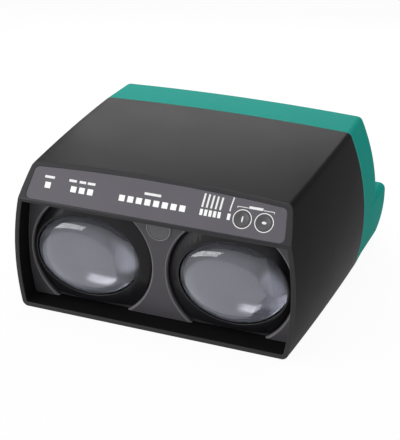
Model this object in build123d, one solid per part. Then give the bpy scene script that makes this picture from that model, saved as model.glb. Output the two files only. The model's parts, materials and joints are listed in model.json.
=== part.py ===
from build123d import *
from math import cos, radians, sin, sqrt, tan
import os

# Optical data coupler: a black hood with two lenses and a display strip on its
# slanted brow, closed at the back by a green housing with a mounting foot.
# Millimetres. +X is to the right as seen from the front, the front looks along -Y,
# +Z is up. The origin is on the floor under the middle of the closed housing.

# Driving sizes. The strip's lamps stand on a grid, and its width is thirty steps.
GRID = 2.54
DEPTH = 170.0
CUT_PAST = 1.0
FILM_HALF_LOW = 30 * GRID

# Outer form. A station is a section across the depth: half width, radius of the
# side arc, height of its widest point, height of the top edge and crown of the top.
RIM_HALF = FILM_HALF_LOW + 7.8
RIM_SIDE_R, RIM_TOP, RIM_CROWN = 165.0, 86.6, 2.25
SEAM_HALF = RIM_HALF + 6.7
SEAM_SIDE_R, SEAM_TOP, SEAM_CROWN = 134.0, RIM_TOP + 2.5, 1.85
BODY_HALF = SEAM_HALF - 0.4
BODY_SIDE_R, BODY_TOP, BODY_CROWN = 126.0, SEAM_TOP - 0.3, 1.7
BULGE_Z = 34.0
BODY_DEPTH = DEPTH - 22.2
SEAM_DEPTH = BODY_DEPTH - 31.0
SIDE_BOW = 0.8
TOP_BOW = 0.6
TOP_CORNER_R = 4.0
RIM_FOOT_R = 4.0
SEAM_FOOT_R = 6.0
MIN_CORNER_R = 0.8
SOLE_CUT = 0.05
HOOD_WALL = 2.8
HOUSING_WALL = 3.5

# Mounting foot of the green housing.
FOOT_START = BODY_DEPTH - 22.8
FOOT_TOP = 38.2
FOOT_HALF = BODY_HALF + 1.4
FOOT_SIDE_R = 85.0
FOOT_BULGE_Z = 30.0
FOOT_CROWN = 0.5
FOOT_FLARE_INSET = 0.35
FOOT_REAR_R = 4.5
BODY_REAR_R = 3.0

# Joint between hood and housing.
SEAM_GAP = 1.0
SEAL_INSET = 0.7
SEAL_WIDTH = 1.9

# Slanted brow with the display.
BROW_LEAN = 35.8
BROW_Z = 69.1
BROW_WALL = 3.2
LIP_Z = 67.0
CEILING_WALL = 1.5
FILM_V = 0.9
FILM_SLANT = 18.83
FILM_HALF_HIGH = FILM_HALF_LOW - 2.4
FILM_CROWN = 2.5
FILM_CORNER_R = 3.0
FILM_T = 0.8
FILM_SUNK = 0.25
FILM_FIT = 0.15

# Light guides in the display: place of the first window, step and width.
GUIDE_V = 10.15
GUIDE_SIDE = 3.4
GUIDE_FIT = 0.12
SLOT_FIT = 0.3
PITCH = 2 * GRID
GUIDES = {
    "power_light_guide": (-25.25 * GRID, PITCH, GUIDE_SIDE),
    "status_light_guide": (-19 * GRID, PITCH, GUIDE_SIDE),
    "level_light_guide": (-7.45 * GRID, PITCH, GUIDE_SIDE),
    "mode_light_guide": (10.85 * GRID, GRID, GUIDE_SIDE / 2),
    "link_light_guide": (17 * GRID, GRID, GUIDE_SIDE / 2),
}
WINDOW_COUNT = {
    "power_light_guide": 1,
    "status_light_guide": 3,
    "level_light_guide": 8,
    "mode_light_guide": 5,
    "link_light_guide": 1,
}
CARRIER_T = 0.8
CARRIER_MARGIN = 0.7
LED_W, LED_D, LED_H = 1.4, 1.4, 1.0
LED_GAP = 0.5

# Buttons and the board behind the display.
BUTTON_X = {"set_button": 20 * GRID, "mode_button": 24.8 * GRID}
BUTTON_R = 1.75 * GRID
BUTTON_FIT = 0.3
BUTTON_PROUD = 0.2
BUTTON_DISH_R = BUTTON_R - 0.9
BUTTON_DISH = 0.5
BUTTON_FLANGE = 0.9
BUTTON_FLANGE_T = 0.8
BUTTON_STEM_R = 1.5
BUTTON_TRAVEL = 0.6
WALL_GAP = 0.2
SWITCH_W, SWITCH_H, SWITCH_CORNER_R = 6.0, 0.6, 0.8
BOARD_T = 1.6
BOARD_CORNER_R = 1.5
DISPLAY_BOARD_HALF = FILM_HALF_LOW - 5.2
DISPLAY_BOARD_V = (5.6, 20.4)

# Lens plate, lenses and their tubes.
PLATE_DEPTH = 13.0
PLATE_T = 3.0
PLATE_TOP = 73.3
PLATE_FIT = 0.2
PLATE_WEB = 9.3
LENS_X = RIM_HALF / 2 - 0.25
LENS_Z = 33.1
BORE_R = LENS_X - PLATE_WEB / 2
BORE_CHAMFER = 0.8
TUBE_R = BORE_R + 1.3
TUBE_WALL = 1.3
LENS_DEPTH = 17.5
LENS_R = BORE_R - 2.5
LENS_FIT = 0.3
LENS_EDGE = 3.0
LENS_BACK_RISE = 4.0
SEAT_WIDTH = 2.2
OVAL_OUT, OVAL_UP = 2.2, 0.8
OVAL_HALF_W = LENS_R - 3.05
OVAL_HALF_H = OVAL_HALF_W * 0.777
DOME_R = 100.0
DOME_DEPTH = 5.6
RING_T = 1.2
RING_GAP = 0.15
RING_FRONT = 12.0
RING_LAND = 1.0
TUBE_STRAIGHT = 26.0
TUBE_END = SEAM_DEPTH - 19.8
TUBE_END_R = 16.0
TUBE_FLOOR = 1.4
CELL_T = 1.6
CELL_BOARD_R = 14.0
CELL_R = 2.6
CELL_LEN = 6.0
CELL_DOME = 0.7
CELL_FIT = 0.2
SIGHT_R = 6.8
SIGHT_Z = 59.0
SIGHT_FLAT = 1.5
SIGHT_T = 1.2
SIGHT_SUNK = 0.8

# Screws that pull the housing on the hood, mirrored left and right: x, z, depth of
# the face that the head sinks in.
SCREWS = (
    (SEAM_HALF - 17.2, SEAM_TOP - 8.6, BODY_DEPTH),
    (SEAM_HALF - 10.2, 12.0, DEPTH),
)
SCREW_R = 2.0
SCREW_HEAD_R = 3.5
SCREW_HEAD_H = 3.0
SCREW_SUNK = 1.2
SCREW_FIT = 0.2
SCREW_BITE = 11.0
PILOT_FIT = 0.05
SOCKET_R = 1.5
SOCKET_DEPTH = 1.8
BOSS_R = 6.4
HOOD_BOSS = 14.0

# Four threaded inserts under the foot.
MOUNT_X = BODY_HALF - 30.3
MOUNT_DEPTHS = (DEPTH - 40.0, DEPTH - 10.0)
INSERT_R = 4.0
INSERT_BORE_R = 2.5
INSERT_LEN = 12.0
INSERT_FIT = 0.05
MOUNT_BOSS_R = 7.0
MOUNT_BOSS_H = 15.0

# Round connectors in the back of the housing above the foot.
PORT_X = 26.0
PORT_Z = (FOOT_TOP + BODY_TOP) / 2 + 0.5
PORT_R = 8.0
PORT_FIT = 0.15
FLANGE_R = 10.5
FLANGE_T = 2.4
GASKET_T, GASKET_INSET = 0.8, 0.5
PORT_INNER = 8.5
THREAD_R = 6.0
THREAD_LEN = 9.5
PORT_WALL = 1.0
SOCKET_SHELL_R = 8.2
SOCKET_SHELL_LEN = 7.0
SOCKET_BORE_R = 6.6
SOCKET_CORE_R = 4.3
SOCKET_CORE_BACK = 0.6
CORE_FIT = 0.05
CONTACT_R = 0.5
CONTACT_PCD_R = 2.5
CONTACT_LEN = 7.5
CONTACT_BACK = 1.2
CONTACT_HOLE_R = 0.65
NUT_FLATS = 21.0
NUT_T = 3.0

# Main board across the back, with what stands on it.
MAIN_DEPTH = BODY_DEPTH - 19.8
MAIN_HALF = BODY_HALF - 28.3
MAIN_Z = (20.0, BODY_TOP - 12.8)
PILLAR_X = MAIN_HALF - 5.0
PILLAR_Z = (FOOT_TOP + 4.8, MAIN_Z[1] - 5.0)
PILLAR_R, PILLAR_HOLE_R = 3.0, 1.6
COIL_X, COIL_Z, COIL_R, COIL_H, COIL_HOLE_R = -30.0, 48.0, 10.0, 8.0, 4.0
CAN_X, CAN_Z, CAN_R, CAN_H, CAN_PITCH = -10.0, 66.0, 4.0, 9.0, 10.0
CAN_COUNT = 3
CHIP_X, CHIP_Z, CHIP_W, CHIP_T = 30.0, 46.0, 16.0, 1.6


def y_at(depth):
    """Y of a plane that lies this far behind the front rim."""
    return depth - DEPTH / 2


def hood_station(depth):
    """Half width, side radius, top and crown of the hood at a depth."""
    t = depth / SEAM_DEPTH
    bow = 4 * t * (1 - t)
    half = RIM_HALF + (SEAM_HALF - RIM_HALF) * t + SIDE_BOW * bow
    top = RIM_TOP + (SEAM_TOP - RIM_TOP) * t + TOP_BOW * bow
    side_r = RIM_SIDE_R + (SEAM_SIDE_R - RIM_SIDE_R) * t
    crown = RIM_CROWN + (SEAM_CROWN - RIM_CROWN) * t
    foot_r = RIM_FOOT_R + (SEAM_FOOT_R - RIM_FOOT_R) * t
    return depth, half, side_r, BULGE_Z, top, crown, foot_r


def housing_station(depth):
    """The same values for the green housing, seam to back."""
    t = (depth - SEAM_DEPTH) / (BODY_DEPTH - SEAM_DEPTH)
    half = SEAM_HALF + (BODY_HALF - SEAM_HALF) * t
    side_r = SEAM_SIDE_R + (BODY_SIDE_R - SEAM_SIDE_R) * t
    top = SEAM_TOP + (BODY_TOP - SEAM_TOP) * t
    crown = SEAM_CROWN + (BODY_CROWN - SEAM_CROWN) * t
    return depth, half, side_r, BULGE_Z, top, crown, SEAM_FOOT_R


def foot_station(depth):
    """The same values for the mounting foot, which flares out of the housing."""
    t = (depth - FOOT_START) / (DEPTH - FOOT_START)
    start = housing_station(FOOT_START)
    half = start[1] - FOOT_FLARE_INSET + (FOOT_HALF - start[1] + FOOT_FLARE_INSET) * t
    side_r = start[2] + (FOOT_SIDE_R - start[2]) * t
    bulge = BULGE_Z + (FOOT_BULGE_Z - BULGE_Z) * t
    return depth, half, side_r, bulge, FOOT_TOP, FOOT_CROWN, SEAM_FOOT_R


def section(station, inset=0.0):
    """Closed section with arched sides and top, inset by a wall."""
    depth, half, side_r, bulge_z, top, crown, foot_r = station
    centre_x = half - side_r
    r = side_r - inset
    low, high = inset - SOLE_CUT, top - inset
    x_low = centre_x + sqrt(r**2 - (bulge_z - low)**2)
    x_high = centre_x + sqrt(r**2 - (high - bulge_z)**2)
    x_mid = centre_x + r
    with BuildSketch(Plane.XZ.offset(-y_at(depth))) as outline:
        with BuildLine():
            Line((-x_low, low), (x_low, low))
            ThreePointArc((x_low, low), (x_mid, bulge_z), (x_high, high))
            ThreePointArc((x_high, high), (0, high + crown), (-x_high, high))
            ThreePointArc((-x_high, high), (-x_mid, bulge_z), (-x_low, low))
        make_face()
        corners = outline.vertices().group_by(Axis.Y)
        fillet(corners[0], max(foot_r - inset, MIN_CORNER_R))
        corners = outline.vertices().filter_by(lambda v: abs(v.Y - high) < 0.01)
        fillet(corners, max(TOP_CORNER_R - inset, MIN_CORNER_R))
    return outline.sketch.faces()[0]


def lofted(stations, inset=0.0):
    """Solid through a list of stations."""
    return Part() + Solid.make_loft(
        [section(s, inset).outer_wire() for s in stations], ruled=len(stations) < 3
    )


def slab(x, y, z, centre=(0, 0, 0)):
    """Box by its three sizes about a centre."""
    return Pos(*centre) * Box(x, y, z)


def along_y(x, z, depth_from, depth_to, radius):
    """Cylinder along Y between two depths."""
    length = depth_to - depth_from
    plane = Plane(origin=(x, y_at(depth_from), z), x_dir=(1, 0, 0), z_dir=(0, 1, 0))
    return plane * Cylinder(radius, length, align=(Align.CENTER, Align.CENTER, Align.MIN))


def turned(x, z, points):
    """Solid turned about an axis along Y, from points of radius and depth."""
    plane = Plane(origin=(x, 0, z), x_dir=(1, 0, 0), z_dir=(0, 0, 1))
    profile = Polyline(*[(r, y_at(d)) for r, d in points], close=True)
    return revolve(plane * make_face(profile), Axis((x, 0, z), (0, 1, 0)))


def above(z, shape):
    """What of a shape lies above a height."""
    reach = 4 * DEPTH
    return shape & slab(reach, reach, reach, (0, 0, z + reach / 2))


# The brow's own plane: local x is +X, local y runs up the slope and z points out.
BROW = Plane(
    origin=(0, y_at(0), BROW_Z),
    x_dir=(1, 0, 0),
    z_dir=(0, -cos(radians(BROW_LEAN)), sin(radians(BROW_LEAN))),
)


def brow_block(sketch, top, bottom):
    """Extrusion of a sketch on the brow between two heights over its face."""
    return BROW.offset(bottom) * extrude(sketch, amount=top - bottom)


def film_outline(grow=0.0):
    """Outline of the display film: straight foot, arched top, round corners."""
    low, high = FILM_HALF_LOW + grow, FILM_HALF_HIGH + grow
    v_low, v_high = FILM_V - grow, FILM_V + FILM_SLANT + grow
    with BuildSketch() as outline:
        with BuildLine():
            Line((-low, v_low), (low, v_low))
            Line((low, v_low), (high, v_high))
            ThreePointArc((high, v_high), (0, v_high + FILM_CROWN), (-high, v_high))
            Line((-high, v_high), (-low, v_low))
        make_face()
        fillet(outline.vertices(), FILM_CORNER_R + grow)
    return outline.sketch


def guide_centres(name):
    """Places of one light guide's windows along the strip."""
    first, step = GUIDES[name][:2]
    return [first + step * i for i in range(WINDOW_COUNT[name])]


def guide_windows(name, grow):
    """Windows of one light guide as a sketch on the brow."""
    width = GUIDES[name][2]
    windows = Sketch()
    for x in guide_centres(name):
        windows += Pos(x, GUIDE_V) * Rectangle(width + 2 * grow, GUIDE_SIDE + 2 * grow)
    return windows


def guide_strip(name, grow):
    """One rectangle round all windows of a light guide."""
    centres = guide_centres(name)
    length = centres[-1] - centres[0] + GUIDES[name][2] + 2 * grow
    middle = (centres[0] + centres[-1]) / 2
    return Pos(middle, GUIDE_V) * Rectangle(length, GUIDE_SIDE + 2 * grow)


def make_hood():
    """Hood shell: lofted skin, slanted brow, open mouth and ceiling over the lenses."""
    outside = above(0, lofted([hood_station(d) for d in (0, SEAM_DEPTH / 2, SEAM_DEPTH)]))
    reach = 2 * DEPTH
    outside -= BROW * Pos(0, 0, reach / 2) * Box(2 * reach, 2 * reach, reach)
    past = HOOD_WALL
    inside = lofted(
        [hood_station(d) for d in (-past, SEAM_DEPTH / 2, SEAM_DEPTH + past)], HOOD_WALL
    )
    slope = tan(radians(BROW_LEAN))
    wall = BROW_WALL / cos(radians(BROW_LEAN))
    ceiling = LIP_Z + CEILING_WALL
    roof = SEAM_TOP + reach
    brow_profile = Polyline(
        (y_at(-DEPTH), LIP_Z),
        (y_at(PLATE_DEPTH), LIP_Z),
        (y_at(PLATE_DEPTH), ceiling),
        (y_at(wall + slope * (ceiling - BROW_Z)), ceiling),
        (y_at(wall + slope * (roof - BROW_Z)), roof),
        (y_at(-DEPTH), roof),
        close=True,
    )
    brow = extrude(Plane.YZ * make_face(brow_profile), amount=reach, both=True)
    hood = outside - (inside - brow)
    for side in (-1, 1):
        for x, z, _ in SCREWS:
            boss = along_y(side * x, z, SEAM_DEPTH - HOOD_BOSS, SEAM_DEPTH, BOSS_R)
            hood += boss & outside
    for side in (-1, 1):
        for x, z, _ in SCREWS:
            pilot = SEAM_DEPTH - SCREW_BITE - SCREW_FIT
            hood -= along_y(side * x, z, pilot, SEAM_DEPTH, SCREW_R + PILOT_FIT)
    hood -= brow_block(film_outline(FILM_FIT), CUT_PAST, -FILM_SUNK - FILM_T)
    for name in GUIDES:
        hood -= brow_block(guide_strip(name, SLOT_FIT), CUT_PAST, -2 * BROW_WALL)
    for x in BUTTON_X.values():
        hole = Pos(x, GUIDE_V) * Circle(BUTTON_R + BUTTON_FIT)
        hood -= brow_block(hole, CUT_PAST, -2 * BROW_WALL)
    return hood


def make_housing():
    """Green housing: shell behind the seam, with the foot, bosses and port holes."""
    start = SEAM_DEPTH + SEAM_GAP
    body = lofted([housing_station(start), housing_station(BODY_DEPTH)])
    back = body.edges().filter_by(lambda e: abs(e.center().Y - y_at(BODY_DEPTH)) < 0.01)
    body = fillet(back, BODY_REAR_R)
    foot = lofted([foot_station(FOOT_START), foot_station(DEPTH)])
    back = foot.edges().filter_by(lambda e: abs(e.center().Y - y_at(DEPTH)) < 0.01)
    foot = fillet(back, FOOT_REAR_R)
    outside = above(0, body + foot)
    wall = HOUSING_WALL
    behind = BODY_DEPTH - wall
    inside = lofted([housing_station(SEAM_DEPTH - wall), housing_station(behind)], wall)
    inside += lofted([foot_station(FOOT_START), foot_station(DEPTH - wall)], wall)
    housing = outside - inside
    for side in (-1, 1):
        for x, z, face in SCREWS:
            housing += along_y(side * x, z, start, face - wall / 2, BOSS_R) & outside
    for side in (-1, 1):
        for depth in MOUNT_DEPTHS:
            housing += Pos(side * MOUNT_X, y_at(depth), MOUNT_BOSS_H / 2) * Cylinder(
                MOUNT_BOSS_R, MOUNT_BOSS_H
            )
            housing -= Pos(side * MOUNT_X, y_at(depth), 0) * Cylinder(
                INSERT_R + INSERT_FIT, 2 * INSERT_LEN
            )
        for x, z, face in SCREWS:
            housing -= along_y(side * x, z, start - CUT_PAST, face + CUT_PAST, SCREW_R + SCREW_FIT)
            seat = face - SCREW_SUNK - SCREW_HEAD_H
            housing -= along_y(side * x, z, seat, face + CUT_PAST, SCREW_HEAD_R + SCREW_FIT)
        hole_r = PORT_R + PORT_FIT
        housing -= along_y(side * PORT_X, PORT_Z, behind - wall, BODY_DEPTH + CUT_PAST, hole_r)
    return housing


def make_gasket():
    """Flat gasket in the seam, set back from the skin."""
    ring = section(hood_station(SEAM_DEPTH), SEAL_INSET)
    ring -= section(hood_station(SEAM_DEPTH), SEAL_INSET + SEAL_WIDTH)
    return extrude(ring, amount=SEAM_GAP, dir=(0, 1, 0))


def make_plate():
    """Lens plate: cut to the hood's inside, with two bores and the sight window's seat."""
    blank = lofted(
        [hood_station(d) for d in (PLATE_DEPTH, PLATE_DEPTH + PLATE_T)], HOOD_WALL + PLATE_FIT
    )
    reach = 2 * DEPTH
    front = PLATE_DEPTH - CUT_PAST
    plate = blank & slab(reach, reach, reach, (0, 0, PLATE_TOP - reach / 2))
    for side in (-1, 1):
        x = side * LENS_X
        plate -= along_y(x, LENS_Z, front, PLATE_DEPTH + PLATE_T + CUT_PAST, BORE_R)
        plate -= turned(
            x,
            LENS_Z,
            [(0, front), (BORE_R + BORE_CHAMFER + CUT_PAST, front),
             (BORE_R, PLATE_DEPTH + BORE_CHAMFER), (0, PLATE_DEPTH + BORE_CHAMFER)],
        )
    plate -= sight_shape(PLATE_FIT, front, PLATE_DEPTH + SIGHT_SUNK)
    return plate


def sight_shape(grow, depth_from, depth_to):
    """Disc cut off flat a little above its middle."""
    disc = along_y(0, SIGHT_Z, depth_from, depth_to, SIGHT_R + grow)
    keep = 2 * SIGHT_R
    return disc & slab(4 * keep, 4 * DEPTH, keep, (0, 0, SIGHT_Z + SIGHT_FLAT + grow - keep / 2))


def make_sight_window():
    return sight_shape(0, PLATE_DEPTH + SIGHT_SUNK - SIGHT_T, PLATE_DEPTH + SIGHT_SUNK)


def make_tube(side):
    """Lens tube: ring seat, lens seat, shoulder and a cone to the optical cell."""
    x = side * LENS_X
    start = PLATE_DEPTH + PLATE_T
    lens_seat = LENS_R + LENS_FIT
    shoulder_r = LENS_R - SEAT_WIDTH
    shoulder = LENS_DEPTH + LENS_EDGE
    hole = CELL_R + CELL_FIT
    outer = turned(
        x,
        LENS_Z,
        [(0, start), (TUBE_R, start), (TUBE_R, TUBE_STRAIGHT), (TUBE_END_R, TUBE_END), (0, TUBE_END)],
    )
    inner = turned(
        x,
        LENS_Z,
        [(0, start - CUT_PAST), (TUBE_R - TUBE_WALL, start - CUT_PAST), (TUBE_R - TUBE_WALL, LENS_DEPTH),
         (lens_seat, LENS_DEPTH), (lens_seat, shoulder), (shoulder_r, shoulder),
         (TUBE_END_R - 2 * TUBE_WALL, TUBE_END - 2 * TUBE_WALL), (0, TUBE_END - 2 * TUBE_WALL)],
    )
    floor = HOOD_WALL + PLATE_FIT
    tube = above(floor, outer) - above(floor + TUBE_FLOOR, inner)
    return tube - along_y(x, LENS_Z, TUBE_END - 3 * TUBE_WALL, TUBE_END + CUT_PAST, hole)


def oval(side, depth_from, depth_to, grow=0.0):
    """Oval prism of the lens's raised front, set a little outwards of the tube's axis."""
    place = (side * (LENS_X + OVAL_OUT), y_at(depth_from), LENS_Z + OVAL_UP)
    outline = Ellipse(OVAL_HALF_W + grow, OVAL_HALF_H + grow)
    plane = Plane(origin=place, x_dir=(1, 0, 0), z_dir=(0, 1, 0))
    return plane * extrude(outline, amount=depth_to - depth_from)


def lens_floor():
    """Height of the flat below the lens and its ring."""
    return HOOD_WALL + PLATE_FIT + TUBE_FLOOR + LENS_FIT


def make_lens(side):
    """Lens: oval front cut from a dome, on a round flange with a shallow bulge behind."""
    x = side * LENS_X
    centre = (side * (LENS_X + OVAL_OUT), y_at(DOME_DEPTH + DOME_R), LENS_Z + OVAL_UP)
    front = oval(side, DOME_DEPTH - CUT_PAST, LENS_DEPTH) & Pos(*centre) * Sphere(DOME_R)
    back = LENS_DEPTH + LENS_EDGE
    flange = along_y(x, LENS_Z, LENS_DEPTH, back, LENS_R)
    bulge_edge = LENS_R - SEAT_WIDTH - LENS_FIT
    bulge_r = (bulge_edge**2 + LENS_BACK_RISE**2) / (2 * LENS_BACK_RISE)
    bulge = Pos(x, y_at(back + LENS_BACK_RISE - bulge_r), LENS_Z) * Sphere(bulge_r)
    bulge &= along_y(x, LENS_Z, LENS_DEPTH, back + LENS_BACK_RISE, bulge_edge)
    return above(lens_floor(), front + flange + bulge)


def make_lens_ring(side):
    """Collar that holds the flange: a ring that rises in a cone to the lens's oval."""
    outer_r = TUBE_R - TUBE_WALL - LENS_FIT / 2
    back = LENS_DEPTH - RING_GAP
    ring = along_y(side * LENS_X, LENS_Z, back - RING_T, back, outer_r)
    foot = ring.faces().sort_by(Axis.Y)[0].outer_wire()
    land = oval(side, RING_FRONT, RING_FRONT + CUT_PAST, LENS_FIT + RING_LAND)
    land = land.faces().sort_by(Axis.Y)[0].outer_wire()
    ring += Part() + Solid.make_loft([foot, land], ruled=True)
    ring -= oval(side, RING_FRONT - CUT_PAST, back + CUT_PAST, LENS_FIT)
    return above(lens_floor(), ring)


def make_cell_board(side):
    """Round board that closes the tube's end."""
    return along_y(side * LENS_X, LENS_Z, TUBE_END, TUBE_END + CELL_T, CELL_BOARD_R)


def make_cell(side):
    """Round optical cell on its board, with a domed nose inside the tube."""
    body = along_y(side * LENS_X, LENS_Z, TUBE_END - CELL_LEN, TUBE_END, CELL_R)
    nose = body.faces().sort_by(Axis.Y)[0].edges()
    return fillet(nose, CELL_R * CELL_DOME)


def make_film():
    """Display film with its windows and the two button holes."""
    film = film_outline()
    for name in GUIDES:
        film -= guide_windows(name, GUIDE_FIT)
    for x in BUTTON_X.values():
        film -= Pos(x, GUIDE_V) * Circle(BUTTON_R + BUTTON_FIT)
    return brow_block(film, -FILM_SUNK, -FILM_SUNK - FILM_T)


def make_guide(name):
    """Light guide: one clear finger for each window on a common bar."""
    back = -BROW_WALL - WALL_GAP
    fingers = brow_block(guide_windows(name, 0), -FILM_SUNK, back)
    bar = brow_block(guide_strip(name, CARRIER_MARGIN), back, back - CARRIER_T)
    return fingers + bar


def board_front():
    """Height of the display board's front over the brow's face."""
    return -BROW_WALL - WALL_GAP - CARRIER_T - LED_GAP - LED_H


def make_display_board():
    low, high = DISPLAY_BOARD_V
    width = 2 * DISPLAY_BOARD_HALF
    outline = Pos(0, (low + high) / 2) * RectangleRounded(width, high - low, BOARD_CORNER_R)
    return brow_block(outline, board_front(), board_front() - BOARD_T)


def make_leds():
    """One lamp behind each window, on the display board."""
    lamps = Sketch()
    for name in GUIDES:
        for x in guide_centres(name):
            lamps += Pos(x, GUIDE_V) * Rectangle(LED_W, LED_D)
    return brow_block(lamps, board_front() + LED_H, board_front())


def make_switches():
    """Flat switches under the two buttons."""
    pads = Sketch()
    for x in BUTTON_X.values():
        pads += Pos(x, GUIDE_V) * RectangleRounded(SWITCH_W, SWITCH_W, SWITCH_CORNER_R)
    return brow_block(pads, board_front() + SWITCH_H, board_front())


def make_button(name):
    """Round button with a dished face and a flange behind the wall."""
    face = BUTTON_PROUD - FILM_SUNK
    back = -BROW_WALL - WALL_GAP
    centre = Pos(BUTTON_X[name], GUIDE_V)
    button = brow_block(centre * Circle(BUTTON_R), face, back)
    button += brow_block(centre * Circle(BUTTON_R + BUTTON_FLANGE), back, back - BUTTON_FLANGE_T)
    dish_r = (BUTTON_DISH_R**2 + BUTTON_DISH**2) / (2 * BUTTON_DISH)
    button -= BROW * Pos(BUTTON_X[name], GUIDE_V, face + dish_r - BUTTON_DISH) * Sphere(dish_r)
    stem = board_front() + SWITCH_H + BUTTON_TRAVEL + WALL_GAP
    return button + brow_block(centre * Circle(BUTTON_STEM_R), back - BUTTON_FLANGE_T, stem)


def port_back():
    """Depth of the connector flange's inner face."""
    return BODY_DEPTH + GASKET_T


def make_supply_connector():
    """Round plug housing: threaded collar outside, barrel through the wall."""
    x, z = PORT_X, PORT_Z
    flange_face = port_back() + FLANGE_T
    inner_r = THREAD_R - PORT_WALL
    body = turned(
        x,
        z,
        [(0, BODY_DEPTH - PORT_INNER), (PORT_R, BODY_DEPTH - PORT_INNER), (PORT_R, port_back()),
         (FLANGE_R, port_back()), (FLANGE_R, flange_face), (THREAD_R, flange_face),
         (THREAD_R, flange_face + THREAD_LEN), (inner_r, flange_face + THREAD_LEN),
         (inner_r, flange_face), (0, flange_face)],
    )
    for cx, cz in contact_places(x, z):
        body -= along_y(cx, cz, BODY_DEPTH - PORT_INNER - CUT_PAST, flange_face + CUT_PAST, CONTACT_R)
    return body


def contact_places(x, z):
    """Four contacts on a circle about a port's axis."""
    step = CONTACT_PCD_R / sqrt(2)
    return [(x + sx * step, z + sz * step) for sx in (-1, 1) for sz in (-1, 1)]


def make_supply_pins():
    """Contact pins of the plug, from behind the board side to the collar."""
    flange_face = port_back() + FLANGE_T
    pins = Part()
    for cx, cz in contact_places(PORT_X, PORT_Z):
        start = BODY_DEPTH - PORT_INNER - CONTACT_BACK
        pins += along_y(cx, cz, start, flange_face + CONTACT_LEN, CONTACT_R)
    return pins


def make_network_connector():
    """Round socket housing: a collar with its thread inside, and an open bore."""
    flange_face = port_back() + FLANGE_T
    end = flange_face + SOCKET_SHELL_LEN
    floor = end - CONTACT_LEN
    return turned(
        -PORT_X,
        PORT_Z,
        [(SOCKET_CORE_R, BODY_DEPTH - PORT_INNER), (PORT_R, BODY_DEPTH - PORT_INNER),
         (PORT_R, port_back()), (FLANGE_R, port_back()), (FLANGE_R, flange_face),
         (SOCKET_SHELL_R, flange_face), (SOCKET_SHELL_R, end), (SOCKET_BORE_R, end),
         (SOCKET_BORE_R, floor), (SOCKET_CORE_R, floor)],
    )


def make_socket_core():
    """Contact carrier of the socket, with four holes in its face."""
    end = port_back() + FLANGE_T + SOCKET_SHELL_LEN - SOCKET_CORE_BACK
    core = along_y(-PORT_X, PORT_Z, BODY_DEPTH - PORT_INNER, end, SOCKET_CORE_R - CORE_FIT)
    for cx, cz in contact_places(-PORT_X, PORT_Z):
        core -= along_y(cx, cz, end - CONTACT_LEN, end + CUT_PAST, CONTACT_HOLE_R)
    return core


def make_gaskets():
    """Flat rings under the connector flanges."""
    rings = Part()
    for side in (-1, 1):
        ring = along_y(side * PORT_X, PORT_Z, BODY_DEPTH, port_back(), FLANGE_R - GASKET_INSET)
        start, end = BODY_DEPTH - CUT_PAST, port_back() + CUT_PAST
        hole = along_y(side * PORT_X, PORT_Z, start, end, PORT_R + PORT_FIT)
        rings += ring - hole
    return rings


def make_nuts():
    """Hexagon nuts that clamp the connectors from inside."""
    nuts = Part()
    inner = BODY_DEPTH - HOUSING_WALL
    for side in (-1, 1):
        x = side * PORT_X
        plane = Plane(origin=(x, y_at(inner), PORT_Z), x_dir=(1, 0, 0), z_dir=(0, -1, 0))
        nut = plane * extrude(RegularPolygon(NUT_FLATS / 2, 6, major_radius=False), amount=NUT_T)
        nuts += nut - along_y(x, PORT_Z, inner - 2 * NUT_T, inner + CUT_PAST, PORT_R + PORT_FIT)
    return nuts


def make_main_board():
    low, high = MAIN_Z
    middle = (0, y_at(MAIN_DEPTH) + BOARD_T / 2, (low + high) / 2)
    board = slab(2 * MAIN_HALF, BOARD_T, high - low, middle)
    for side in (-1, 1):
        for z in PILLAR_Z:
            start, end = MAIN_DEPTH - CUT_PAST, MAIN_DEPTH + BOARD_T + CUT_PAST
            board -= along_y(side * PILLAR_X, z, start, end, PILLAR_HOLE_R)
    return board


def make_pillars():
    """Threaded pillars between the main board and the housing's back wall."""
    pillars = Part()
    for side in (-1, 1):
        for z in PILLAR_Z:
            start, end = MAIN_DEPTH + BOARD_T, BODY_DEPTH - HOUSING_WALL
            pillars += along_y(side * PILLAR_X, z, start, end, PILLAR_R)
    return pillars


def make_inserts():
    """Threaded inserts under the foot."""
    inserts = Part()
    for side in (-1, 1):
        for depth in MOUNT_DEPTHS:
            insert = Cylinder(INSERT_R, INSERT_LEN) - Cylinder(INSERT_BORE_R, INSERT_LEN)
            inserts += Pos(side * MOUNT_X, y_at(depth), INSERT_LEN / 2) * insert
    return inserts


def make_screws():
    """Four socket head screws from the back into the hood's bosses."""
    screws = Part()
    for side in (-1, 1):
        for x, z, face in SCREWS:
            seat = face - SCREW_SUNK - SCREW_HEAD_H
            top = face - SCREW_SUNK
            screw = along_y(side * x, z, SEAM_DEPTH - SCREW_BITE, seat, SCREW_R)
            screw += along_y(side * x, z, seat, top, SCREW_HEAD_R)
            plane = Plane(origin=(side * x, y_at(top), z), x_dir=(1, 0, 0), z_dir=(0, -1, 0))
            socket = extrude(RegularPolygon(SOCKET_R, 6, major_radius=False), amount=SOCKET_DEPTH)
            screws += screw - plane * socket
    return screws


def make_coil():
    """Ring core choke standing on the main board."""
    top = MAIN_DEPTH - COIL_H
    coil = along_y(COIL_X, COIL_Z, top, MAIN_DEPTH, COIL_R)
    return coil - along_y(COIL_X, COIL_Z, top - CUT_PAST, MAIN_DEPTH + CUT_PAST, COIL_HOLE_R)


def make_capacitors():
    """Row of round capacitors on the main board."""
    cans = Part()
    for i in range(CAN_COUNT):
        cans += along_y(CAN_X + CAN_PITCH * i, CAN_Z, MAIN_DEPTH - CAN_H, MAIN_DEPTH, CAN_R)
    return cans


def make_processor():
    return slab(CHIP_W, CHIP_T, CHIP_W, (CHIP_X, y_at(MAIN_DEPTH) - CHIP_T / 2, CHIP_Z))


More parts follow.
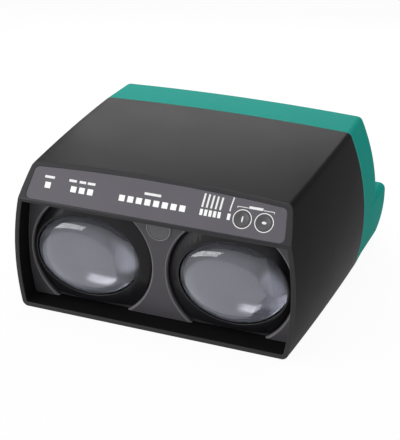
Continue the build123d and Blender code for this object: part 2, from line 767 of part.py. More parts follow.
nodes = {
    "front_hood": make_hood(),
    "rear_housing": make_housing(),
    "seam_gasket": make_gasket(),
    "lens_plate": make_plate(),
    "sight_window": make_sight_window(),
    "display_film": make_film(),
    "display_board": make_display_board(),
    "indicator_lamps": make_leds(),
    "button_switches": make_switches(),
    "supply_connector": make_supply_connector(),
    "supply_pins": make_supply_pins(),
    "network_connector": make_network_connector(),
    "network_contact_carrier": make_socket_core(),
    "connector_gaskets": make_gaskets(),
    "connector_nuts": make_nuts(),
    "main_board": make_main_board(),
    "board_pillars": make_pillars(),
    "filter_choke": make_coil(),
    "capacitors": make_capacitors(),
    "processor": make_processor(),
    "mounting_inserts": make_inserts(),
    "housing_screws": make_screws(),
}
for name in GUIDES:
    nodes[name] = make_guide(name)
for name in BUTTON_X:
    nodes[name] = make_button(name)
for side, part in ((-1, "transmitter"), (1, "receiver")):
    nodes[part + "_lens"] = make_lens(side)
    nodes[part + "_lens_ring"] = make_lens_ring(side)
    nodes[part + "_tube"] = make_tube(side)
    nodes[part + "_board"] = make_cell_board(side)
    nodes[part + "_diode"] = make_cell(side)

os.makedirs("parts", exist_ok=True)
for name, shape in nodes.items():
    export_step(shape, f"parts/{name}.step")
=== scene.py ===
import json
from math import atan2, cos, pi, radians, sin

import bmesh
import bpy
from mathutils import Matrix, Vector
from mathutils.bvhtree import BVHTree


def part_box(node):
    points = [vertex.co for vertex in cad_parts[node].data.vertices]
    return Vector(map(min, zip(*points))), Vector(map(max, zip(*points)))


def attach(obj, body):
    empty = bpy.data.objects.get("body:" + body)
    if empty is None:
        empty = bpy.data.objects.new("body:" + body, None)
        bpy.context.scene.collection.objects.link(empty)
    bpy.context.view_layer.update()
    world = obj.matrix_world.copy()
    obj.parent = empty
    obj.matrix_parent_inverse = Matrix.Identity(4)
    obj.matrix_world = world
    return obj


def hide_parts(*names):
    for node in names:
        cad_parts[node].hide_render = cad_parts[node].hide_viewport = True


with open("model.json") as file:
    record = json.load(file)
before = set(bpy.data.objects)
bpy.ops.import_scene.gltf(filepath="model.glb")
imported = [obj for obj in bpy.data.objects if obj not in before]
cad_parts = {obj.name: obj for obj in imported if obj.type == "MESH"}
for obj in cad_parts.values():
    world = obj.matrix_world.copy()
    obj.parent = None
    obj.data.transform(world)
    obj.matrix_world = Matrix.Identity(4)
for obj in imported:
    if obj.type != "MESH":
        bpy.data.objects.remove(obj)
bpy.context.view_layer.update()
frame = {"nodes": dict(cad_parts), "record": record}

# Looks of an optical data coupler: a black hood with two lenses and a display strip on
# its brow, and a green housing behind. Metres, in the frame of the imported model.
nodes = frame["nodes"]
MM = 0.001

# Camera, solved from the edges of the photograph (400 x 440).
CAMERA_PLACE = (0.24868, -0.65528, 0.37229)
CAMERA_AZIMUTH = 21.04
CAMERA_RISE = 25.91
CAMERA_ROLL = 0.59
CAMERA_LENS = 104.85
CAMERA_NEAR = 0.01
SENSOR = 36.0

# The display's plane: foot of the brow and its lean from upright.
BROW_FOOT = Vector((0.0, -85.0, 69.1)) * MM
BROW_LEAN = radians(35.8)

# Lens: oval outline, steep shoulder in front and a silvered bowl behind.
LENS_HALF_W = 31.4 * MM
LENS_HALF_H = 24.4 * MM
LENS_SIDE = 43.95 * MM
LENS_HEIGHT = 33.9 * MM
LENS_APEX = -79.4 * MM
LENS_BACK = -68.6 * MM
LENS_BOWL = 5.0 * MM
SHOULDER = 2.9
PROFILE_POINTS = 28

# Flats ground on the right of each lens: share of its half width where they start, and
# their angles round its middle.
FLAT_START = 0.62
FLATS = {"transmitter_lens": (4.0,), "receiver_lens": (22.0, -26.0)}

# Sockets of a Mix node that blends colours: share, both colours and the result.
MIX_SHARE, MIX_FIRST, MIX_SECOND, MIX_COLOUR = 0, 6, 7, 2


class Value:
    """Socket of a node that takes part in arithmetic."""

    def __init__(self, look, socket):
        self.look = look
        self.socket = socket

    def __add__(self, other):
        return self.look.maths("ADD", self, other)

    def __sub__(self, other):
        return self.look.maths("SUBTRACT", self, other)

    def __rsub__(self, other):
        return self.look.maths("SUBTRACT", other, self)

    def __mul__(self, other):
        return self.look.maths("MULTIPLY", self, other)

    __radd__ = __add__
    __rmul__ = __mul__


class Look:
    """Node tree of a material or of the world, with the calls that fill it."""

    def __init__(self, owner):
        self.owner = owner
        owner.use_nodes = True
        self.tree = owner.node_tree
        self.tree.nodes.clear()

    def node(self, kind, settings=None, inputs=None, out=0):
        """Any node: its type, its settings, then the values or links of its sockets."""
        made = self.tree.nodes.new(kind)
        for key, value in (settings or {}).items():
            setattr(made, key, value)
        for key, value in (inputs or {}).items():
            socket = made.inputs[key]
            if isinstance(value, Value):
                self.tree.links.new(value.socket, socket)
            elif socket.type == "RGBA":
                socket.default_value = (*value, 1.0)
            else:
                socket.default_value = value
        return Value(self, made.outputs[out]) if made.outputs else made

    def maths(self, operation, *values):
        return self.node("ShaderNodeMath", {"operation": operation}, dict(enumerate(values)))

    def clamp(self, value):
        return self.node("ShaderNodeClamp", inputs={"Value": value})

    def place(self, scale=(1.0, 1.0, 1.0), shift=(0.0, 0.0, 0.0)):
        """Object coordinates, scaled and moved by a Mapping node."""
        here = self.node("ShaderNodeTexCoord", out="Object")
        inputs = {"Vector": here, "Location": shift, "Scale": scale}
        return self.node("ShaderNodeMapping", inputs=inputs)

    def noise(self, size, detail=3.0, rough=0.5):
        """Noise from 0 to 1 whose features are about this size in metres."""
        inputs = {"Vector": self.place(), "Scale": 1 / size, "Detail": detail}
        inputs["Roughness"] = rough
        return self.node("ShaderNodeTexNoise", inputs=inputs)

    def ramp(self, value, low, high):
        """0 below low, 1 above high and a smooth step between."""
        inputs = {"Value": value, "From Min": low, "From Max": high}
        settings = {"interpolation_type": "SMOOTHSTEP"}
        return self.node("ShaderNodeMapRange", settings, inputs)

    def blend(self, mask, first, second):
        """Colour that goes from first to second with the mask."""
        inputs = {MIX_SHARE: mask, MIX_FIRST: first, MIX_SECOND: second}
        return self.node("ShaderNodeMix", {"data_type": "RGBA"}, inputs, out=MIX_COLOUR)

    def edges(self, radius):
        """Mask of the convex and concave edges within a radius."""
        soft = self.node("ShaderNodeBevel", {"samples": 4}, {"Radius": radius})
        hard = self.node("ShaderNodeNewGeometry", out="Normal")
        settings = {"operation": "DOT_PRODUCT"}
        same = self.node("ShaderNodeVectorMath", settings, {0: soft, 1: hard}, out="Value")
        return self.ramp(1.0 - same, 0.01, 0.15)

    def bump(self, height, depth):
        """Normal of a height from 0 to 1, over a depth in metres."""
        return self.node("ShaderNodeBump", inputs={"Height": height, "Distance": depth})

    def shown(self):
        """1 for the camera and for what a mirror or glass shows, 0 as a light."""
        seen, mirrored, through = (
            self.node("ShaderNodeLightPath", out=f"Is {ray} Ray")
            for ray in ("Camera", "Glossy", "Transmission")
        )
        return self.clamp(seen + mirrored + through)

    def surface(self, **sockets):
        """Principled shader on the output, with _ for the spaces of a socket's name."""
        inputs = {name.replace("_", " "): value for name, value in sockets.items()}
        shader = self.node("ShaderNodeBsdfPrincipled", inputs=inputs)
        self.node("ShaderNodeOutputMaterial", inputs={"Surface": shader})
        return self.owner


def look(name):
    """New material to be filled by a finish below."""
    return Look(bpy.data.materials.new(name))


# Finishes
def moulded(name, colour, rough, grain=0.35 * MM, depth=0.02 * MM, wear_and_highlight=0.03, shine=0.5):
    """Moulded plastic: fine eroded grain, cloudy gloss, and paler edges that are partly
    rubbed wear and partly a painted highlight.
    """
    m = look(name)
    cloud = m.noise(24 * MM)
    pores = m.noise(grain, detail=2.0, rough=0.6)
    # Mask of the edges: partly rubbed wear, partly a painted highlight along them.
    edge_wear_and_highlight = m.edges(0.7 * MM) * (0.35 + 0.65 * m.ramp(m.noise(5 * MM), 0.4, 0.65))
    darker = [c * 0.88 for c in colour]
    # Paler edge colour: partly wear, partly a painted highlight.
    worn_and_highlit = [min(1.0, c + wear_and_highlight) for c in colour]
    base = m.blend(edge_wear_and_highlight, m.blend(cloud, darker, colour), worn_and_highlit)
    gloss = rough + 0.08 * (cloud - 0.5) - 0.06 * edge_wear_and_highlight
    normal = m.bump(pores, depth)
    return m.surface(
        Base_Color=base, Roughness=gloss, Normal=normal, Specular_IOR_Level=shine
    )


def metal(name, colour, rough):
    """Metal with fine tool marks and faint tarnish."""
    m = look(name)
    marks = m.noise(0.4 * MM, detail=4.0)
    tarnish = m.ramp(m.noise(3 * MM), 0.35, 0.75)
    base = m.blend(tarnish, colour, [c * 0.72 for c in colour])
    gloss = rough + 0.15 * marks * tarnish
    normal = m.bump(marks, 0.01 * MM)
    return m.surface(Base_Color=base, Roughness=gloss, Metallic=1.0, Normal=normal)


def clear(name, colour, rough, see_through):
    """Clear plastic with slight haze."""
    m = look(name)
    haze = m.noise(4 * MM)
    base = m.blend(haze, colour, [c * 0.8 for c in colour])
    gloss = rough + 0.1 * haze
    return m.surface(
        Base_Color=base, Roughness=gloss, Transmission_Weight=see_through, IOR=1.49
    )


def hazy_lens(name, side):
    """Lens plastic: clear, under a grey-blue haze that thins out towards the rim."""
    m = look(name)
    wide, high = 1 / LENS_HALF_W, 1 / LENS_HALF_H
    shift = (-side * LENS_SIDE * wide, 0.0, -LENS_HEIGHT * high)
    round_middle = m.place(scale=(wide, 0.0, high), shift=shift)
    settings = {"operation": "LENGTH"}
    out = m.node("ShaderNodeVectorMath", settings, {0: round_middle}, out="Value")
    cloud = m.noise(14 * MM)
    veil = m.blend(cloud, (0.155, 0.158, 0.194), (0.18, 0.183, 0.22))
    inputs = {"Base Color": veil, "Roughness": 0.03}
    haze = m.node("ShaderNodeBsdfPrincipled", inputs=inputs)
    inputs = {"Base Color": (0.96, 0.97, 1.0), "Roughness": 0.0, "Transmission Weight": 1.0}
    glass = m.node("ShaderNodeBsdfPrincipled", inputs=inputs)
    share = 0.38 + 0.08 * cloud + 0.42 * m.ramp(out, 0.55, 0.95)
    mixed = m.node("ShaderNodeMixShader", inputs={0: share, 1: haze, 2: glass})
    m.node("ShaderNodeOutputMaterial", inputs={"Surface": mixed})
    return m.owner


def silvered(name):
    """Back of a lens: blue-grey mirror coat, a little cloudy."""
    m = look(name)
    cloud = m.noise(18 * MM)
    base = m.blend(cloud, (0.44, 0.445, 0.49), (0.50, 0.505, 0.545))
    return m.surface(Base_Color=base, Roughness=0.12 + 0.05 * cloud, Metallic=0.8)


def ink(name, colour):
    """Screen print: satin, with slightly thin spots."""
    m = look(name)
    thin = m.ramp(m.noise(0.5 * MM), 0.55, 0.8)
    base = m.blend(thin, colour, [c * 0.8 for c in colour])
    return m.surface(Base_Color=base, Roughness=0.5 + 0.1 * thin)


def board_green(name):
    """Circuit board: solder mask over faint tracks."""
    m = look(name)
    tracks = m.node(
        "ShaderNodeTexWave",
        {"wave_type": "BANDS", "bands_direction": "X"},
        {"Vector": m.place(), "Scale": 300.0, "Distortion": 6.0, "Detail": 0.0},
    )
    line = m.ramp(tracks, 0.6, 0.7)
    base = m.blend(line, (0.012, 0.10, 0.045), (0.02, 0.17, 0.075))
    return m.surface(Base_Color=base, Roughness=0.35, Normal=m.bump(line, 0.03 * MM))


# The hood, housing and plate have high wear: besides wear, it paints a highlight along their
# edges.
finishes = {
    "hood": moulded(
        "black_grained_plastic", (0.010, 0.0095, 0.010), 0.36, wear_and_highlight=0.07, shine=0.01
    ),
    "housing": moulded(
        "green_satin_plastic", (0.010, 0.255, 0.21), 0.6, wear_and_highlight=0.10, shine=0.01
    ),
    "seal": moulded("black_rubber", (0.012, 0.012, 0.012), 0.75, grain=0.6 * MM),
    "plate": moulded("dark_grey_plastic", (0.066, 0.062, 0.070), 0.5, wear_and_highlight=0.10, shine=0.3),
    "sight": clear("smoked_window", (0.10, 0.098, 0.105), 0.2, 0.1),
    "film": moulded(
        "grey_display_film", (0.100, 0.095, 0.110), 0.4, depth=0.006 * MM, shine=0.3
    ),
    "guide": clear("milky_light_guide", (0.97, 0.98, 0.98), 0.3, 0.0),
    "button": moulded("dark_button_plastic", (0.05, 0.048, 0.052), 0.45),
    "glass": hazy_lens("hazy_receiver_lens", 1),
    "tube": moulded("flat_black_tube", (0.02, 0.019, 0.02), 0.6),
    "ring": moulded("dark_collar", (0.011, 0.010, 0.012), 0.35, shine=0.2),
    "board": board_green("circuit_board"),
    "diode": clear("dark_diode", (0.06, 0.015, 0.02), 0.12, 0.3),
    "lamp": clear("lamp_cap", (0.8, 0.8, 0.75), 0.25, 0.1),
    "switch": metal("switch_plate", (0.6, 0.6, 0.58), 0.3),
    "connector": metal("nickel_plate", (0.30, 0.29, 0.27), 0.28),
    "contact": metal("gilt_contact", (0.62, 0.42, 0.14), 0.25),
    "carrier": moulded("black_insulator", (0.015, 0.015, 0.015), 0.5),
    "nut": metal("plated_nut", (0.25, 0.25, 0.245), 0.36),
    "insert": metal("brass_insert", (0.45, 0.30, 0.11), 0.35),
    "screw": metal("zinc_screw", (0.24, 0.24, 0.25), 0.36),
    "pillar": metal("brass_pillar", (0.62, 0.48, 0.24), 0.3),
    "ferrite": moulded("ferrite_core", (0.04, 0.04, 0.045), 0.6),
    "can": metal("capacitor_can", (0.6, 0.61, 0.63), 0.3),
    "chip": moulded("chip_package", (0.015, 0.015, 0.016), 0.55),
}
slot_of = {s["node"]: s["material_slot"] for s in frame["record"]["subparts"]}


def finish(piece, slot):
    """Gives a piece the finish of one of the record's slots."""
    piece.data.materials.clear()
    piece.data.materials.append(finishes[slot])


# Angle from which shading breaks, angle that counts as an edge to be rounded, angle
# below which two faces are one flat, gaps below which two points are one, and how far
# off an edge the look into free air starts.
SHARP_ANGLE = radians(28.0)
EDGE_ANGLE = radians(32.0)
FLAT_ANGLE = radians(0.6)
CAD_GAP = 0.02 * MM
POINT_GAP = 0.002 * MM
POLE_GAP = 0.001 * MM
RAY_START = 0.05 * MM


def piece_from(bm, name, slot, body="housing", replaced=()):
    """Object from a bmesh, with its finish, riding on a body."""
    mesh = bpy.data.meshes.new(name)
    bm.to_mesh(mesh)
    bm.free()
    mesh.shade_smooth()
    mesh.set_sharp_from_angle(angle=SHARP_ANGLE)
    piece = bpy.data.objects.new(name, mesh)
    bpy.context.scene.collection.objects.link(piece)
    mesh.materials.append(finishes[slot])
    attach(piece, body)
    if replaced:
        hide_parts(*replaced)
    return piece


def merged_copy(node):
    """Bmesh of a CAD node's mesh, its doubles merged and its flats made whole."""
    bm = bmesh.new()
    bm.from_mesh(nodes[node].data)
    bmesh.ops.remove_doubles(bm, verts=bm.verts, dist=CAD_GAP)
    bmesh.ops.dissolve_degenerate(bm, edges=bm.edges, dist=CAD_GAP)
    bmesh.ops.dissolve_limit(bm, angle_limit=FLAT_ANGLE, verts=bm.verts, edges=bm.edges)
    return bm


# Thread of the supply collar: its axis, crest, depth, half pitch, first cut and number
# of cuts, and how near a point has to be to a cut and to the crest to be moved.
THREAD_AXIS = Vector((26.0, 0.0, 64.0)) * MM
THREAD_CREST = 6.0 * MM
THREAD_DEPTH = 0.5 * MM
HALF_PITCH = 0.5 * MM
THREAD_START = 67.0 * MM
THREAD_CUTS = 15
CUT_GAP = 0.01 * MM
CREST_GAP = 0.1 * MM


def add_supply_thread():
    """Supply connector with the ridges of its thread cut into the collar."""
    bm = merged_copy("supply_connector")
    for i in range(THREAD_CUTS):
        level = THREAD_START + i * HALF_PITCH
        geom = bm.verts[:] + bm.edges[:] + bm.faces[:]
        bmesh.ops.bisect_plane(bm, geom=geom, plane_co=(0, level, 0), plane_no=(0, 1, 0))
        if i % 2 == 0:
            continue
        for vert in bm.verts:
            out = vert.co - THREAD_AXIS
            out.y = 0.0
            on_cut = abs(vert.co.y - level) < CUT_GAP
            if on_cut and out.length > THREAD_CREST - CREST_GAP:
                vert.co -= out.normalized() * THREAD_DEPTH
    piece_from(
        bm, "supply_collar_threaded", "connector", replaced=("supply_connector",)
    )


def is_bare(edge, tree):
    """Whether an edge points out of the piece, and not into one of its hollows."""
    out = (edge.link_faces[0].normal + edge.link_faces[1].normal).normalized()
    middle = (edge.verts[0].co + edge.verts[1].co) / 2
    return tree.ray_cast(middle + out * RAY_START, out)[0] is None


def chains_of(edges):
    """Edges sorted into chains that hang together."""
    left = dict.fromkeys(edges)
    chains = []
    while left:
        chain = [next(iter(left))]
        del left[chain[0]]
        for edge in chain:  # grows as its neighbours are found
            for other in (e for v in edge.verts for e in v.link_edges if e in left):
                del left[other]
                chain.append(other)
        chains.append(chain)
    return chains


# Second and third finish of a rounded piece: its edges, a lighter copy that paints a
# highlight along them, and the rim of the hood, a painted highlight too.
EDGE_HIGHLIGHT, RIM_HIGHLIGHT = 1, 2


def crease_borders(mesh):
    """Sharp edges where a rounding ends, so that the faces beside it stay flat."""
    around = {}
    for face in mesh.polygons:
        for key in face.edge_keys:
            around.setdefault(key, set()).add(face.material_index)
    for edge in mesh.edges:
        if len(around[edge.key]) > 1:
            edge.use_edge_sharp = True


def dressed(node, width, edge_wear_and_highlight):
    """Copy of a CAD node's mesh whose outer edges are rounded and have a lighter finish, a
    painted highlight.

    Each chain is rounded on its own, so that a tight spot holds back only its own chain.
    """
    bm = merged_copy(node)
    bm.normal_update()
    tree = BVHTree.FromBMesh(bm)
    corners = [
        e
        for e in bm.edges
        if e.is_convex and e.calc_face_angle() > EDGE_ANGLE and is_bare(e, tree)
    ]
    for chain in chains_of(corners):
        rounded = bmesh.ops.bevel(
            bm,
            geom=[e for e in chain if e.is_valid],
            offset=width,
            offset_type="OFFSET",
            segments=2,
            profile=0.5,
            affect="EDGES",
            clamp_overlap=True,
            material=-1,
        )
        # The rounded faces take the lighter edge finish: a painted highlight.
        for face in rounded["faces"]:
            face.material_index = EDGE_HIGHLIGHT
    bmesh.ops.remove_doubles(bm, verts=bm.verts, dist=POINT_GAP)
    bmesh.ops.dissolve_degenerate(bm, edges=bm.edges, dist=POINT_GAP)
    piece = piece_from(bm, node + "_finished", slot_of[node], replaced=(node,))
    piece.data.materials.append(edge_wear_and_highlight)
    crease_borders(piece.data)
    return piece


# Steps of a full turn.
TURN_STEPS = 96


def spun(points):
    """Bmesh turned about the Y axis from points of radius and depth."""
    bm = bmesh.new()
    verts = [bm.verts.new((r, y, 0.0)) for r, y in points]
    edges = [bm.edges.new(pair) for pair in zip(verts, verts[1:])]
    bmesh.ops.spin(
        bm,
        geom=verts + edges,
        cent=(0, 0, 0),
        axis=(0, 1, 0),
        angle=2 * pi,
        steps=TURN_STEPS,
        use_merge=True,
    )
    bmesh.ops.remove_doubles(bm, verts=bm.verts, dist=POLE_GAP)
    bmesh.ops.recalc_face_normals(bm, faces=bm.faces)
    return bm


def lens_profile():
    """Points of radius and depth: front from the apex to the edge, then the bowl back."""
    turns = [i / (PROFILE_POINTS - 1) for i in range(PROFILE_POINTS)]
    front = []
    for t in turns:
        r = sin(t * pi / 2)
        fall = 1 - (1 - r**SHOULDER) ** (1 / SHOULDER)
        front.append((r * LENS_HALF_W, LENS_APEX + (LENS_BACK - LENS_APEX) * fall))
    bowl = []
    for t in reversed(turns[:-1]):
        bowl.append((t * LENS_HALF_W, LENS_BACK + LENS_BOWL * (1 - t * t)))
    return front + bowl


def grind_flat(bm, angle):
    """Cuts one flat on the lens, from the dome out to its edge."""
    inner = next(y for r, y in lens_profile() if r > FLAT_START * LENS_HALF_W)
    fall, reach = LENS_BACK - inner, (1 - FLAT_START) * LENS_HALF_W
    across = Vector((cos(radians(angle)), 0, sin(radians(angle))))
    start = across * FLAT_START * LENS_HALF_W + Vector((0, inner, 0))
    geom = bm.verts[:] + bm.edges[:] + bm.faces[:]
    normal = across * fall + Vector((0, -reach, 0))
    bmesh.ops.bisect_plane(bm, geom=geom, plane_co=start, plane_no=normal, clear_outer=True)
    bmesh.ops.holes_fill(bm, edges=[e for e in bm.edges if e.is_boundary])
    bmesh.ops.recalc_face_normals(bm, faces=bm.faces)


def add_lens(side, name):
    """One lens: clear front with its flats, and a silvered bowl, in its place."""
    bm = spun(lens_profile())
    for angle in FLATS[name]:
        grind_flat(bm, angle)
    bmesh.ops.scale(bm, vec=(1, 1, LENS_HALF_H / LENS_HALF_W), verts=bm.verts)
    bmesh.ops.translate(bm, vec=(side * LENS_SIDE, 0, LENS_HEIGHT), verts=bm.verts)
    piece = piece_from(bm, name + "_dome", "glass", replaced=(name,))
    if side < 0:
        piece.data.materials[0] = hazy_lens("hazy_transmitter_lens", side)
    piece.data.materials.append(lens_back)
    for face in piece.data.polygons:
        face.material_index = int(face.center.y > LENS_BACK)


# Print on the display: its thickness, the depth of the film's face in the brow, and in
# millimetres along the strip and up its slope the row of the lamps and a thin stroke.
INK_RISE = 0.02
FILM_FACE = -0.25
LAMP_ROW = 10.15
STROKE = 0.35

# Bars in the places of words: middle, half length and row.
WORDS = (
    (-63.9, 2.3, 14.8),
    (-49.6, 1.6, 14.8),
    (-43.6, 1.3, 14.8),
    (-38.3, 1.6, 14.8),
    (-1.6, 4.2, 14.8),
    (57.2, 3.2, 17.0),
)
WORD_HEIGHT = 1.4

# Leaders over the five narrow lamps: each leans, and each is shorter than the last.
LEADERS = 5
LEADER_START = 27.5
LEADER_STEP = 2.54
LEADER_FOOT = 13.4
LEADER_TOP = 20.0
LEADER_LEAN = 0.35
LEADER_LOSS = 0.18
LEADER_WIDTH = 1.05

# Stroke and dot over the lamp of the link, then the bracket over the two buttons, with
# the gap that keeps its strokes apart.
LINK_STROKES = (((43.2, 14.4), (44.0, 20.6)), ((43.2, 13.6), (43.3, 13.9)))
LINK_WIDTH = 0.7
BRACKET_MIDDLE = 57.2
BRACKET_INNER = 4.4
BRACKET_OUTER = 10.2
BRACKET_LEVEL = 16.6
BRACKET_FOOT = 15.9
BRACKET_GAP = 0.03


def on_brow(bm, lift):
    """Turns a bmesh of the strip's own x and y, in millimetres, to its place."""
    turn = Matrix.Rotation(pi / 2 - BROW_LEAN, 4, "X")
    out = Vector((0, -cos(BROW_LEAN), sin(BROW_LEAN)))
    matrix = Matrix.Translation(BROW_FOOT + out * lift * MM) @ turn @ Matrix.Scale(MM, 4)
    bmesh.ops.transform(bm, matrix=matrix, verts=bm.verts)


def thicken(bm, depth):
    """Gives a flat bmesh a thickness, down from its face."""
    made = bmesh.ops.extrude_face_region(bm, geom=bm.faces[:])["geom"]
    lower = [part for part in made if isinstance(part, bmesh.types.BMVert)]
    bmesh.ops.translate(bm, vec=(0, 0, -depth), verts=lower)
    bmesh.ops.recalc_face_normals(bm, faces=bm.faces)


def add_bar(bm, start, end, width=STROKE):
    """Flat stroke between two points of the strip."""
    a, b = Vector((*start, 0)), Vector((*end, 0))
    along = b - a
    made = bmesh.ops.create_grid(bm, x_segments=1, y_segments=1, size=0.5)["verts"]
    bmesh.ops.scale(bm, vec=(along.length + width, width, 1), verts=made)
    turn = Matrix.Rotation(atan2(along.y, along.x), 3, "Z")
    bmesh.ops.rotate(bm, cent=(0, 0, 0), matrix=turn, verts=made)
    bmesh.ops.translate(bm, vec=(a + b) / 2, verts=made)


def add_print():
    """White print: plain bars over the lamps, leaders and the buttons' bracket."""
    bm = bmesh.new()
    for x, half, row in WORDS:
        add_bar(bm, (x - half, row), (x + half, row), WORD_HEIGHT)
    for i in range(LEADERS):
        x = LEADER_START + LEADER_STEP * i
        top = (x + LEADER_LEAN, LEADER_TOP - LEADER_LOSS * i)
        add_bar(bm, (x, LEADER_FOOT), top, LEADER_WIDTH)
    for start, end in LINK_STROKES:
        add_bar(bm, start, end, LINK_WIDTH)
    for side in (-1, 1):
        far = BRACKET_MIDDLE + side * BRACKET_OUTER
        near = (BRACKET_MIDDLE + side * BRACKET_INNER, BRACKET_LEVEL)
        add_bar(bm, near, (far, BRACKET_LEVEL))
        add_bar(bm, (far, BRACKET_LEVEL - BRACKET_GAP - STROKE), (far, BRACKET_FOOT))
    thicken(bm, INK_RISE)
    on_brow(bm, FILM_FACE + INK_RISE)
    piece_from(bm, "display_print", "film").data.materials[0] = white_ink


# Buttons along the strip, the ring printed round each, and the level, the thickness
# and the size of the mark on each dished face, in millimetres.
BUTTONS = {"set_button": 50.8, "mode_button": 62.99}
RING_INNER = 4.78
RING_OUTER = 5.3
RING_SIDES = 64
MARK_LEVEL = -0.43
MARK_DEPTH = 0.12
MARK_SIZES = {"set_button": (0.9, 3.6), "mode_button": (2.6, 1.5)}
MARK_SIDES = 32


def add_button_marks():
    """White ring printed round each button, and the mark on its dished face."""
    for name, x in BUTTONS.items():
        bm = bmesh.new()
        for radius in (RING_INNER, RING_OUTER):
            bmesh.ops.create_circle(bm, radius=radius, segments=RING_SIDES)
        bmesh.ops.bridge_loops(bm, edges=bm.edges)
        bmesh.ops.translate(bm, vec=(x, LAMP_ROW, 0), verts=bm.verts)
        thicken(bm, INK_RISE)
        on_brow(bm, FILM_FACE + INK_RISE)
        piece_from(bm, name + "_ring", "film").data.materials[0] = white_ink
        bm = bmesh.new()
        bmesh.ops.create_circle(bm, cap_ends=True, radius=0.5, segments=MARK_SIDES)
        bmesh.ops.scale(bm, vec=(*MARK_SIZES[name], 1), verts=bm.verts)
        bmesh.ops.translate(bm, vec=(x, LAMP_ROW, 0), verts=bm.verts)
        thicken(bm, MARK_DEPTH)
        on_brow(bm, MARK_LEVEL)
        mark = piece_from(bm, name + "_mark", "button", name + "_body")
        mark.data.materials[0] = white_ink


# Lip of the sight window: height of its middle, height where it is cut off, and its
# section as millimetres of radius and of depth behind the window's face.
SIGHT_MIDDLE = 59.0 * MM
SIGHT_LEVEL = 60.5 * MM
SIGHT_RIM = ((6.75, -0.2), (6.95, -0.4), (7.25, -0.4), (7.4, 0.3), (6.75, 0.3))


def add_sight_rim():
    """Raised half-round lip on the lens plate, round the sight window."""
    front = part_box("sight_window")[0][1]
    bm = spun([(r * MM, front + y * MM) for r, y in SIGHT_RIM + SIGHT_RIM[:1]])
    bmesh.ops.translate(bm, vec=(0, 0, SIGHT_MIDDLE), verts=bm.verts)
    geom = bm.verts[:] + bm.edges[:] + bm.faces[:]
    bmesh.ops.bisect_plane(
        bm, geom=geom, plane_co=(0, 0, SIGHT_LEVEL), plane_no=(0, 0, 1), clear_outer=True
    )
    bmesh.ops.holes_fill(bm, edges=[e for e in bm.edges if e.is_boundary])
    piece_from(bm, "sight_rim", "plate").data.materials[0] = pale_lip


for name, node in nodes.items():
    finish(node, slot_of[name])
lens_back = silvered("silvered_lens_back")
white_ink = ink("white_ink", (0.75, 0.75, 0.75))
# Lighter, shinier copy of the hood's black for its forward faces: a painted highlight on the
# rim.
rim_highlight = moulded("rim_painted_highlight", (0.016, 0.015, 0.017), 0.42, wear_and_highlight=0.035, shine=0.3)
pale_lip = moulded("pale_lip", (0.20, 0.195, 0.205), 0.45)
# Lighter copies of the hood's, housing's, plate's and collar's colours for their rounded
# edges: painted highlights.
hood_edge_highlight = moulded(
    "black_edge_painted_highlight", (0.022, 0.021, 0.024), 0.4, wear_and_highlight=0.012, shine=0.2
)
housing_edge_highlight = moulded("green_edge_painted_highlight", (0.03, 0.33, 0.275), 0.5, shine=0.1)
plate_edge_highlight = moulded("grey_edge_painted_highlight", (0.15, 0.146, 0.158), 0.45)
collar_edge_highlight = moulded("collar_edge_painted_highlight", (0.03, 0.029, 0.031), 0.35)

# Width of the rounding and the finish of each rounded piece's edges, a lighter copy of its
# colour that paints a highlight along them.
ROUNDED = {
    "front_hood": (0.45 * MM, hood_edge_highlight),
    "rear_housing": (0.5 * MM, housing_edge_highlight),
    "lens_plate": (0.4 * MM, plate_edge_highlight),
    "transmitter_lens_ring": (0.2 * MM, collar_edge_highlight),
    "receiver_lens_ring": (0.2 * MM, collar_edge_highlight),
}

# How far forward the normal of one of the hood's faces points to count as its rim.
RIM_FACING = -0.5


def highlight_rim(hood):
    """Gives the hood's faces that look forward a lighter, shinier copy of its black: a
    painted highlight on its rim.
    """
    hood.data.materials.append(rim_highlight)
    for face in hood.data.polygons:
        if face.material_index == 0 and face.normal.y < RIM_FACING:
            face.material_index = RIM_HIGHLIGHT


rounded_pieces = {node: dressed(node, *how) for node, how in ROUNDED.items()}
highlight_rim(rounded_pieces["front_hood"])
add_lens(-1, "transmitter_lens")
add_lens(1, "receiver_lens")
add_print()
add_button_marks()
add_sight_rim()
add_supply_thread()


# Floor and world: the floor's half size, cells and drop, its share of plain white for
# the camera, and the strength of the sky as a light.
FLOOR_REACH = 4.0
FLOOR_CELLS = 8
FLOOR_DROP = 0.2 * MM
FLOOR_GLOW = 0.94
SKY_FILL = 0.42
WHITE = (1.0, 1.0, 1.0)


def add_floor():
    """Pale floor that turns white for the camera and keeps a faint shadow."""
    bm = bmesh.new()
    bmesh.ops.create_grid(
        bm, x_segments=FLOOR_CELLS, y_segments=FLOOR_CELLS, size=FLOOR_REACH
    )
    mesh = bpy.data.meshes.new("floor")
    bm.to_mesh(mesh)
    bm.free()
    floor = bpy.data.objects.new("floor", mesh)
    floor.location.z = -FLOOR_DROP
    bpy.context.scene.collection.objects.link(floor)
    m = look("pale_floor")
    glow = m.node("ShaderNodeEmission", inputs={"Color": WHITE, "Strength": 1.0})
    paint = m.node("ShaderNodeBsdfDiffuse", inputs={"Color": (0.85, 0.85, 0.85)})
    share = m.shown() * FLOOR_GLOW
    mixed = m.node("ShaderNodeMixShader", inputs={0: share, 1: paint, 2: glow})
    m.node("ShaderNodeOutputMaterial", inputs={"Surface": mixed})
    mesh.materials.append(m.owner)


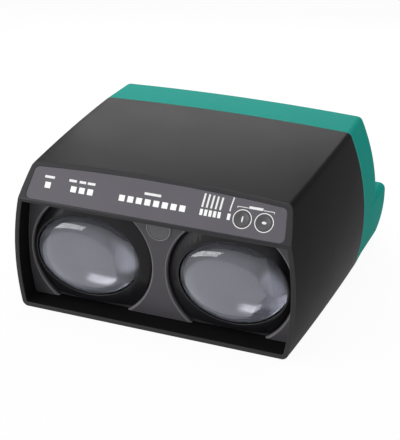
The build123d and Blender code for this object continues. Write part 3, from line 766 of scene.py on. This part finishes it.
def add_world():
    """White for the camera and for reflections, softer as a light."""
    world = bpy.data.worlds.new("studio")
    bpy.context.scene.world = world
    w = Look(world)
    strength = SKY_FILL + (1.0 - SKY_FILL) * w.shown()
    sky = w.node("ShaderNodeBackground", inputs={"Color": WHITE, "Strength": strength})
    w.node("ShaderNodeOutputWorld", inputs={"Surface": sky})


# Studio lights: place, aim, size in metres and power in watts.
MIDDLE = (0.0, 0.0, 0.05)
LIGHTS = {
    "overhead_light": ((0.0, -0.1, 1.0), MIDDLE, (0.6, 0.6), 3.6),
    "back_light": ((-0.13, 0.42, 0.25), (0.0, 0.05, 0.08), (0.4, 0.12), 1.6),
    "front_light": ((-0.9, -0.7, 0.42), MIDDLE, (1.2, 0.36), 9.0),
    "right_fill": ((1.0, -0.1, 0.55), MIDDLE, (0.6, 0.6), 1.8),
}


def add_light(name, place, aim, size, power):
    """Soft oblong light at a place, turned to a point."""
    data = bpy.data.lights.new(name, "AREA")
    data.shape = "RECTANGLE"
    data.size, data.size_y = size
    data.energy = power
    lamp = bpy.data.objects.new(name, data)
    lamp.location = place
    lamp.rotation_euler = (Vector(aim) - Vector(place)).to_track_quat("-Z", "Y").to_euler()
    bpy.context.scene.collection.objects.link(lamp)


def add_camera():
    """Camera at the photograph's place, angle and field of view."""
    data = bpy.data.cameras.new("camera")
    data.sensor_width = SENSOR
    data.lens = CAMERA_LENS
    data.clip_start = CAMERA_NEAR
    camera = bpy.data.objects.new("camera", data)
    around, rise, roll = (radians(a) for a in (CAMERA_AZIMUTH, CAMERA_RISE, CAMERA_ROLL))
    back = Vector((sin(around) * cos(rise), -cos(around) * cos(rise), sin(rise)))
    level = Vector((0, 0, 1)).cross(back).normalized()
    upright = back.cross(level)
    right = level * cos(roll) + upright * sin(roll)
    up = upright * cos(roll) - level * sin(roll)
    turn = Matrix((right, up, back)).transposed().to_4x4()
    camera.matrix_world = Matrix.Translation(CAMERA_PLACE) @ turn
    bpy.context.scene.collection.objects.link(camera)
    bpy.context.scene.camera = camera


add_floor()
add_world()
for name, light in LIGHTS.items():
    add_light(name, *light)
add_camera()

view = bpy.context.scene.view_settings
view.view_transform = "Standard"
